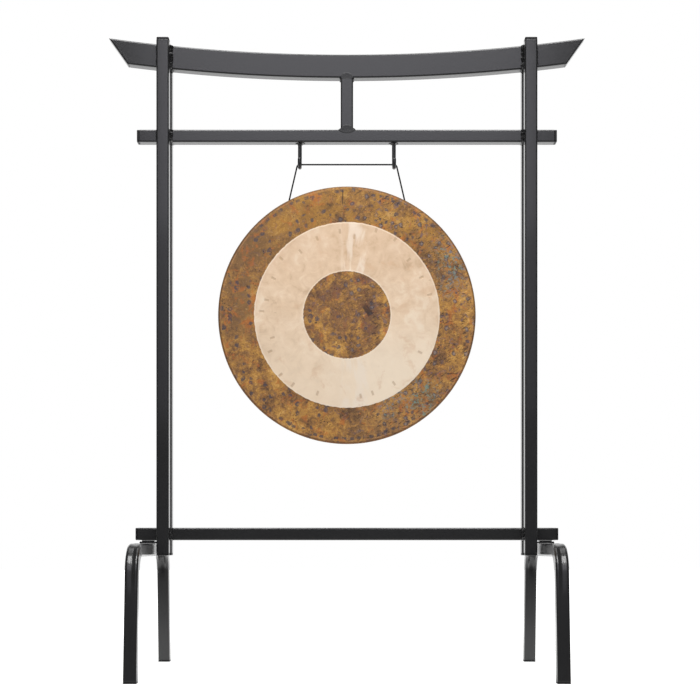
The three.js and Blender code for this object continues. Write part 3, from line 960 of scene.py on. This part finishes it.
def build_feet(paint, plastic):
    outline = rounded(TUBE, TUBE, CORNER, FOOT_FLATS)
    for side_name, _ in SIDES:
        node = f"foot_{side_name}"
        low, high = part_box(node)
        bar_z = high.z - HALF
        middle_x = (low.x + high.x) / 2
        corners = [
            leg_place(middle_x, bar_z, -1, low.z),
            Vector((middle_x, -FOOT_TOP_SPREAD, bar_z)),
            Vector((middle_x, FOOT_TOP_SPREAD, bar_z)),
            leg_place(middle_x, bar_z, 1, low.z),
        ]
        route = Route(corners, [FOOT_BEND, FOOT_BEND])
        stations = route.stations(round(route.length / FOOT_STEP))
        rings = tube_rings(foot_at(route, low.z), stations, outline)
        steel(node + "_tube", [skin(rings, loop=True)], paint, node, flat_faces=False)
        for layer, front in LAYERS:
            build_glide(f"foot_glide_{layer}_{side_name}", front, middle_x, bar_z, plastic)


def build_glide(node, front, middle_x, bar_z, plastic):
    """A flat pad under a leg, with a plug that follows the leg's slope."""
    outline = rounded(TUBE, TUBE, CORNER)
    steps = [(rise * MM, inset * MM) for rise, inset in GLIDE_FLOOR_EDGE]
    steps += [(GLIDE_FLANGE - drop * MM, inset * MM) for drop, inset in GLIDE_TOP_EDGE]
    steps.append((GLIDE_FLANGE, WALL + SEAT_GAP))
    pad = leg_place(middle_x, bar_z, front, GLIDE_FLANGE / 2)
    rings = rings_along(straight(Vector((pad.x, pad.y, 0)), Z_AXIS, X_AXIS, Y_AXIS), outline, steps)
    for rise in (GLIDE_FLANGE + PLUG_DEPTH / 2, GLIDE_FLANGE + PLUG_DEPTH):
        middle = leg_place(middle_x, bar_z, front, rise)
        rings += rings_along(straight(middle, Z_AXIS, X_AXIS, Y_AXIS), outline, [(0, WALL + FIN_HEIGHT)])
    seat(shape(node + "_pad", [skin(rings)], [plastic]), "stand", "black_plastic", node)


def build_saddles(paint):
    """A plate on each foot's bar with a rolled outer lip, and the block that carries the rail."""
    for side_name, side in SIDES:
        node = f"foot_saddle_{side_name}"
        low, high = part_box(node)
        foot_low, foot_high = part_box(f"foot_{side_name}")
        inner = low.x if side > 0 else high.x
        reach = (high.x if side > 0 else low.x) - side * SADDLE_LIP
        plate_z = foot_high.z + SEAT_GAP
        middle_z = plate_z + SADDLE_THICKNESS / 2
        profile = [(inner, plate_z), (reach, plate_z)]
        for step in range(SADDLE_LIP_STEPS + 1):
            angle = SADDLE_LIP_TURN * (2 * step / SADDLE_LIP_STEPS - 1)
            lip_x = reach + side * SADDLE_LIP * math.cos(angle)
            profile.append((lip_x, middle_z + SADDLE_LIP * math.sin(angle)))
        profile += [(reach, plate_z + SADDLE_THICKNESS), (inner, plate_z + SADDLE_THICKNESS)]
        rows = (low.y, low.y / 2, 0, high.y / 2, high.y)
        plate = skin([[Vector((x, y, z)) for x, z in profile] for y in rows])
        height = rail_low.z - SEAT_GAP - plate_z
        start = Vector(((foot_low.x + foot_high.x) / 2, 0, plate_z))
        steps = ((0, 0), (height - SADDLE_BLOCK_EDGE, 0), (height, SADDLE_BLOCK_EDGE))
        outline = rounded(TUBE, TUBE, SADDLE_BLOCK_EDGE)
        block = skin(rings_along(straight(start, Z_AXIS, X_AXIS, Y_AXIS), outline, steps))
        steel(node + "_plate", [plate, block], paint, node)


def build_hooks(paint):
    """Round rod bent to a J that opens to the front, with a rough weld round its top."""
    for side_name, side in SIDES:
        node = f"hook_{side_name}"
        low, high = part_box(node)
        head = Vector(((low.x + high.x) / 2, 0, high.z))
        corners = [head]
        for y, height in ((0, HOOK_ROD), (-2 * HOOK_BEND, HOOK_ROD), (-2 * HOOK_BEND, HOOK_TIP_HEIGHT)):
            corners.append(Vector((head.x, y, low.z + height)))
        route = Route(corners, [HOOK_BEND * HOOK_BEND_ROOM, HOOK_BEND * HOOK_BEND_ROOM])
        shank = route.length - HOOK_ROD
        steps = [(distance, 0) for distance in route.stations(HOOK_STEPS) if distance < shank]
        for sin, cos in quarter_turn(0, HOOK_TIP_STEPS)[:-1]:
            steps.append((shank + HOOK_ROD * sin, HOOK_ROD * (1 - cos)))
        skins = [rod_skin(route, steps), flare_skin(head, side)]
        steel(node + "_rod", skins, paint, node, flat_faces=False)


def rod_skin(route, steps):
    """A hook's rod with faint dents."""
    outline = circle(HOOK_ROD, HOOK_SIDES)
    rings = []
    for distance, inset in steps:
        place, way = route.where(distance)
        out = X_AXIS.cross(way)
        dent = HOOK_DENT * noise.noise(place * 180)
        rings.append([place + X_AXIS * a + out * (b + dent) for a, b in outline(inset)])
    return skin(rings)


def flare_skin(head, side):
    """The weld that spreads from a hook's rod to the tie beam."""
    rings = []
    for index, (sin, cos) in enumerate(quarter_turn(0, HOOK_WELD_STEPS)):
        drop = HOOK_WELD_LIP + (HOOK_WELD_HEIGHT - HOOK_WELD_LIP) * (1 - sin)
        spread = HOOK_ROD * 0.9 + (HOOK_WELD_RADIUS - HOOK_ROD) * (1 - cos)
        rings.append(weld_ring(head - Z_AXIS * drop, spread, index / HOOK_WELD_STEPS, side))
    rings.append(weld_ring(head, HOOK_WELD_RADIUS * 0.96, 1, side))
    return skin(rings)


def weld_ring(middle, radius, roughness, seed):
    """One level ring of a lumpy weld."""
    ring = []
    for turn in turns(HOOK_WELD_SIDES):
        way = Vector((math.cos(turn), math.sin(turn), 0))
        lump = noise.noise(way * 2.6 + Vector((seed * 5, 0, middle.z * 60))) * 0.5
        lump += noise.noise(way * 7 + Vector((0, seed * 5, middle.z * 200))) * 0.22
        ring.append(middle + way * radius * (1 + roughness * (lump - 0.16)))
    return ring


def bead(start, end, first_face, second_face, size, seed):
    """A weld bead in the corner between two faces, laid in overlapping ripples."""
    length = (end - start).length
    way = (end - start) / length
    out = (first_face + second_face).normalized()
    across = way.cross(out)
    chance = random.Random(seed)
    shift = Vector((chance.uniform(0, 50), chance.uniform(0, 50), chance.uniform(0, 50)))
    count = round(length / BEAD_STEP)
    rings = []
    for index in range(count + 1):
        share = index / count
        distance = share * length
        swell = noise.noise(shift + way * distance * 130)
        ripple = abs(math.sin(math.pi * (distance / BEAD_RIPPLE + 0.9 * swell)))
        taper = min(1, 12 * share + 0.25, 12 * (1 - share) + 0.25)
        radius = size * taper * (0.7 + 0.3 * ripple + 0.42 * swell)
        middle = start + way * distance + out * 0.1 * radius
        ring = []
        for turn in turns(BEAD_SIDES):
            ray = out * math.cos(turn) + across * math.sin(turn)
            lump = 1 + 0.26 * noise.noise(shift + (middle + ray * radius) * 420)
            ring.append(middle + ray * radius * lump)
        rings.append(ring)
    return skin(rings)


def ground_weld(middle, layer, upper, lower):
    """A thin weld patch with a low rim, dished inside. Each half has its own width and height."""
    rings = []
    for share, proud in GROUND_SECTION:
        ring = []
        for turn in turns(GROUND_SIDES, 0.5):
            wide, tall = upper if turn < math.pi else lower
            ray = Vector((wide * math.cos(turn), 0, tall * math.sin(turn)))
            lump = 1 + 0.05 * noise.noise(ray * 160 + Y_AXIS * layer)
            ring.append(middle + ray * share * lump + Y_AXIS * layer * proud * MM)
        rings.append(ring)
    return skin(rings)


def build_post_welds(weld_paint):
    """Beads down both sides of every post where a beam crosses it."""
    inner = post_low.x
    angle = math.asin(inner / CREST_RADIUS)
    crest_middle = CREST_CENTRE - CREST_RADIUS * math.cos(angle)
    levels = (
        ("top_beam", crest_middle, CREST_HEIGHT / 2 + BEAD_PAST_CREST, math.tan(angle)),
        ("tie_beam", (tie_low.z + tie_high.z) / 2, HALF + BEAD_PAST_TUBE, 0),
        ("bottom_rail", (rail_low.z + rail_high.z) / 2, HALF + BEAD_PAST_TUBE, 0),
    )
    seed = 0
    for side_name, side in SIDES:
        for beam, height, half, climb in levels:
            skins = []
            for edge_x, outward, size in ((inner, -side, BEAD_INSIDE), (POST_REACH, side, BEAD_OUTSIDE)):
                for _, layer in LAYERS:
                    seed += 1
                    corner = Vector((side * edge_x, layer * HALF, height + (edge_x - inner) * climb))
                    rise = Z_AXIS * half
                    faces = (X_AXIS * outward, Y_AXIS * layer)
                    skins.append(bead(corner - rise, corner + rise, *faces, size, seed))
            steel(f"weld_{beam}_{side_name}", skins, weld_paint, flat_faces=False)
    return seed


def build_strut_welds(weld_paint, seed):
    """Beads on the strut's sides and ground welds on its front and back, at both its ends."""
    skins = []
    for height, upward, size in ((strut_low.z, 1, BEAD_STRUT_FOOT), (strut_high.z, -1, BEAD_STRUT_TOP)):
        for side in (-1, 1):
            seed += 1
            start = Vector((side * HALF, BEAD_STRUT_INSET - HALF, height))
            end = Vector((side * HALF, HALF - BEAD_STRUT_INSET, height))
            skins.append(bead(start, end, X_AXIS * side, Z_AXIS * upward, size, seed))
    narrow = HALF - GROUND_INSET
    for _, layer in LAYERS:
        head = Vector((0, layer * HALF, strut_high.z))
        foot = Vector((0, layer * HALF, strut_low.z))
        skins.append(ground_weld(head, layer, (HALF, GROUND_ARCH), (narrow, GROUND_ARCH_FOOT)))
        skins.append(ground_weld(foot, layer, (narrow, GROUND_TONGUE), GROUND_APRON))
    steel("weld_centre_strut", skins, weld_paint, flat_faces=False)


def gong_hole(side):
    """The middle of a rim hole, in the sheet's thickness, and the way out through it."""
    radius = GONG_RADIUS - GONG_RIM / 2 - GONG_RIM_LEAN * GONG_HOLE_DEPTH / GONG_RIM_DEPTH
    ray = Vector((side * math.sin(GONG_HOLE_ANGLE), 0, math.cos(GONG_HOLE_ANGLE)))
    place = GONG_CENTRE + ray * radius
    place.y = GONG_FRONT + GONG_HOLE_DEPTH
    return place, ray


def strand_rings(route):
    """A twisted cord's rings: a round of strands that turns as it runs."""
    rings = []
    for distance in route.stations(round(route.length / CORD_STEP)):
        place, way = route.where(distance)
        out = Y_AXIS.cross(way).normalized()
        turned = 2 * math.pi * distance / CORD_LAY
        ring = []
        for turn in turns(CORD_SIDES):
            lobe = abs(math.cos((turn - turned) * CORD_STRANDS / 2))
            radius = CORD_RADIUS * (1 - STRAND_DEPTH + STRAND_DEPTH * lobe ** 0.7)
            ring.append(place + Y_AXIS * radius * math.cos(turn) + out * radius * math.sin(turn))
        rings.append(ring)
    return rings


def build_cord(nylon):
    """One cord: level between the hooks, over each rod, down to a rim hole and into a knot."""
    hook_low, hook_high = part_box("hook_right")
    hook_x = (hook_low.x + hook_high.x) / 2
    wrap = HOOK_ROD + SEAT_GAP + CORD_RADIUS
    wrap_z = hook_low.z + HOOK_ROD
    hole, ray = gong_hole(1)
    mouth = hole + ray * GONG_RIM / 2
    down = Vector((mouth.x - hook_x, 0, mouth.z - wrap_z))
    drop = math.sqrt(down.length_squared - wrap ** 2)
    turn = math.atan2(-down.z, down.x) + math.atan2(wrap, drop)
    top = Vector((hook_x + wrap * math.tan(turn / 2), -HOOK_BEND, wrap_z + wrap))
    knot = hole - ray * (KNOT_RADIUS + 2 * SEAT_GAP + GONG_RIM / 2)
    half = [knot, mouth, top]
    corners = half + [Vector((-place.x, place.y, place.z)) for place in reversed(half)]
    route = Route(corners, [CORD_RADIUS, wrap, wrap, CORD_RADIUS])
    skins = [skin(strand_rings(route)), knot_skin(corners[-1]), knot_skin(knot)]
    made = shape("cord_twisted", skins, [nylon], sharp=80, flat_faces=False)
    seat(made, "cord_loop", "black_cord", "cord")


def knot_skin(middle):
    """A pulled-tight overhand knot."""

    def along(step):
        turn = 2 * math.pi * step / KNOT_STEPS
        wide = 2 + 0.8 * math.cos(3 * turn)
        place = Vector((wide * math.cos(2 * turn), 1.4 * math.sin(3 * turn), wide * math.sin(2 * turn)))
        return place * (KNOT_RADIUS - CORD_RADIUS) / 2.8

    first = None
    rings = []
    for index in range(KNOT_STEPS):
        place = along(index)
        way = (along(index + 1) - place).normalized()
        first = way.orthogonal() if first is None else first - way * first.dot(way)
        first = first.normalized()
        second = way.cross(first)
        ring = []
        for turn in turns(KNOT_SIDES):
            ray = first * math.cos(turn) + second * math.sin(turn)
            ring.append(middle + place + ray * CORD_RADIUS * 0.95)
        rings.append(ring)
    return skin(rings, loop=True)


def gong_dent(x, z):
    """How far the hammered sheet stands out of its true form."""
    place = Vector((x, z, 0))
    slow = noise.noise(place * 9 + Vector((3, 1, 0)))
    quick = noise.noise(place * 31 + Vector((0, 7, 2)))
    return DENT_DEPTH * (slow + 0.45 * quick)


def gong_profile():
    """The gong's section from the middle of its face round the rim to the middle of its back.

    Each point has its radius, its depth and how much it is dented.
    """
    face_edge = GONG_RADIUS - GONG_CORNER
    face = []
    back = []
    for index in range(1, GONG_RINGS + 1):
        share = index / GONG_RINGS
        rise = GONG_CROWN * (1 - share ** 2)
        face.append((face_edge * share, -rise, 1 - share ** 8))
        back.append((face_edge * share, GONG_SHEET - rise, 1 - share ** 8))
    outer = []
    inner = []
    for sin, cos in quarter_turn(1, GONG_CORNER_STEPS):
        outer.append((face_edge + GONG_CORNER * sin, GONG_CORNER * (1 - cos), 0))
        inner_depth = GONG_SHEET + (GONG_CORNER - GONG_SHEET) * (1 - cos)
        inner.append((face_edge + (GONG_CORNER - GONG_RIM) * sin, inner_depth, 0))
    wall = []
    inner_wall = []
    for index in range(1, GONG_RIM_STEPS):
        share = index / GONG_RIM_STEPS
        depth = GONG_CORNER + (GONG_RIM_DEPTH - GONG_LIP - GONG_CORNER) * share
        radius = GONG_RADIUS - GONG_RIM_LEAN * share
        wall.append((radius, depth, 0))
        inner_wall.append((radius - GONG_RIM, depth, 0))
    lip = []
    lip_middle = GONG_RADIUS - GONG_RIM_LEAN - GONG_RIM / 2
    for index in range(GONG_LIP_STEPS + 1):
        angle = math.pi * index / GONG_LIP_STEPS
        depth = GONG_RIM_DEPTH - GONG_LIP + GONG_LIP * math.sin(angle)
        lip.append((lip_middle + GONG_RIM / 2 * math.cos(angle), depth, 0))
    return face + outer + wall + lip + inner_wall[::-1] + inner[::-1] + back[::-1]


def build_gong(front_finish, back_finish):
    rings = []
    for radius, depth, dented in gong_profile():
        ring = []
        for turn in turns(GONG_SPOKES):
            x = radius * math.sin(turn)
            z = radius * math.cos(turn)
            y = GONG_FRONT + depth + dented * gong_dent(x, z)
            ring.append(Vector((x, y, GONG_CENTRE.z + z)))
        rings.append(ring)
    made = shape("gong_plate", [skin(rings)], [front_finish, back_finish], sharp=60, flat_faces=False)
    front_points = (GONG_RINGS + GONG_CORNER_STEPS - 1) * GONG_SPOKES
    for polygon in made.data.polygons:
        polygon.material_index = 0 if max(polygon.vertices) < front_points else 1
    drill_rim(made)
    seat(made, "gong", "gong_bronze", "gong")


def drill_rim(gong):
    """Cuts the two cord holes and keeps the cut mesh."""
    cutters = []
    for _, side in SIDES:
        hole, ray = gong_hole(side)
        at = straight(hole - ray * DRILL_REACH, ray, Y_AXIS, Y_AXIS.cross(ray))
        rings = rings_along(at, circle(GONG_HOLE_RADIUS, DRILL_SIDES), ((0, 0), (2 * DRILL_REACH, 0)))
        cutter = shape(f"drill_{side}", [skin(rings)], [], flat_faces=False)
        modifier = gong.modifiers.new("hole", "BOOLEAN")
        modifier.object = cutter
        modifier.operation = "DIFFERENCE"
        modifier.solver = "EXACT"
        cutters.append(cutter)
    graph = bpy.context.evaluated_depsgraph_get()
    cut = bpy.data.meshes.new_from_object(gong.evaluated_get(graph))
    gong.modifiers.clear()
    gong.data = cut
    for cutter in cutters:
        bpy.data.objects.remove(cutter, do_unlink=True)


def add_camera():
    data = bpy.data.cameras.new("camera")
    data.sensor_width = SENSOR_WIDTH
    data.lens = SENSOR_WIDTH * FOCAL_PIXELS / PHOTO_SIDE
    data.shift_x = 0.5 - VANISHING_X / PHOTO_SIDE
    data.shift_y = VANISHING_Y / PHOTO_SIDE - 0.5
    camera = placed("camera", data)
    camera.location = (0, -CAMERA_AWAY, CAMERA_HEIGHT)
    camera.rotation_euler = (math.pi / 2, 0, 0)
    bpy.context.scene.camera = camera


def background_rays(finish):
    """1 for what is seen directly, mirrored, through glass, or in any of these ways."""
    direct = finish.node("ShaderNodeLightPath", output="Is Camera Ray")
    mirrored = direct.output("Is Glossy Ray")
    through = direct.output("Is Transmission Ray")
    return direct, mirrored, through, direct.most(mirrored, through)


def floor_finish():
    """Pale grey that turns white to the camera away from the stand and keeps the shadow."""
    finish = Finish("pale_floor")
    direct, mirrored, _, shown = background_rays(finish)
    place = finish.place()
    depth = finish.split(place).output("Y")
    away = finish.length(place).above(0.7, 3.2)
    dim = mirrored * (depth.below(*FRONT_DIM) + BACK_DIM_SHARE * depth.above(*BACK_DIM))
    colour = finish.mix(finish.grain(place, 3), srgb(234, 234, 234), srgb(238, 238, 238))
    colour = finish.mix(dim * 0.85, colour, srgb(60, 60, 60))
    near_glow, far_glow = FLOOR_GLOW
    strength = shown * (near_glow + far_glow * away) * (1 - dim)
    strength = strength + FLOOR_SHADOW_LIFT * direct * (1 - away)
    diffuse = finish.node("ShaderNodeBsdfDiffuse", None, {"Color": colour})
    glow = finish.node("ShaderNodeEmission", None, {"Color": (1, 1, 1, 1), "Strength": strength})
    both = finish.node("ShaderNodeAddShader", None, {0: diffuse, 1: glow})
    finish.node("ShaderNodeOutputMaterial", None, {"Surface": both})
    return finish.data


def add_floor():
    lines = [FLOOR_REACH * (2 * index / FLOOR_CELLS - 1) for index in range(FLOOR_CELLS + 1)]
    faces = []
    for row in range(FLOOR_CELLS):
        for column in range(FLOOR_CELLS):
            start = row * len(lines) + column
            faces.append((start, start + 1, start + len(lines) + 1, start + len(lines)))
    mesh = bpy.data.meshes.new("floor")
    mesh.from_pydata([(x, y, 0) for y in lines for x in lines], [], faces)
    mesh.materials.append(floor_finish())
    floor = placed("floor", mesh)


def add_world():
    """A white backdrop behind the object and a dark room round the rest."""
    world = bpy.data.worlds.new("room")
    bpy.context.scene.world = world
    finish = Finish("room", world)
    direct, mirrored, through, shown = background_rays(finish)
    depth = finish.split(finish.node("ShaderNodeTexCoord", output="Generated")).output("Y")
    backdrop = ROOM_SHINE + (1 - ROOM_SHINE) * depth.above(BACKDROP_FROM, BACKDROP_TO)
    strength = direct.most(through) + mirrored * backdrop + ROOM_LIGHT * (1 - shown)
    values = {"Color": (1, 1, 1, 1), "Strength": strength}
    background = finish.node("ShaderNodeBackground", None, values)
    finish.node("ShaderNodeOutputWorld", None, {"Surface": background})


def add_lights():
    for name, (place, target, width, height, watts, tint) in LAMPS.items():
        data = bpy.data.lights.new(name, "AREA")
        data.shape = "RECTANGLE"
        data.size = width
        data.size_y = height
        data.energy = watts
        data.color = tint
        lamp = placed(name, data)
        lamp.location = place
        lamp.rotation_euler = (Vector(target) - Vector(place)).to_track_quat("-Z", "Y").to_euler()


add_camera()
build_cord(twisted_nylon())
paint = powder_coat("black_powder_coat", srgb(26, 26, 27), 0.36, 0.06 * MM, 0.7)
weld_paint = powder_coat("painted_weld", srgb(25, 25, 26), 0.46, 0.14 * MM, 0.2)
plastic = moulded_plastic()
build_posts(paint, plastic)
build_level_beams(paint, plastic)
build_crest(paint)
build_feet(paint, plastic)
build_saddles(paint)
build_hooks(paint)
build_strut_welds(weld_paint, build_post_welds(weld_paint))
build_gong(gong_front(), gong_back())
add_floor()
add_world()
add_lights()
scene = bpy.context.scene
scene.view_settings.view_transform = "Standard"
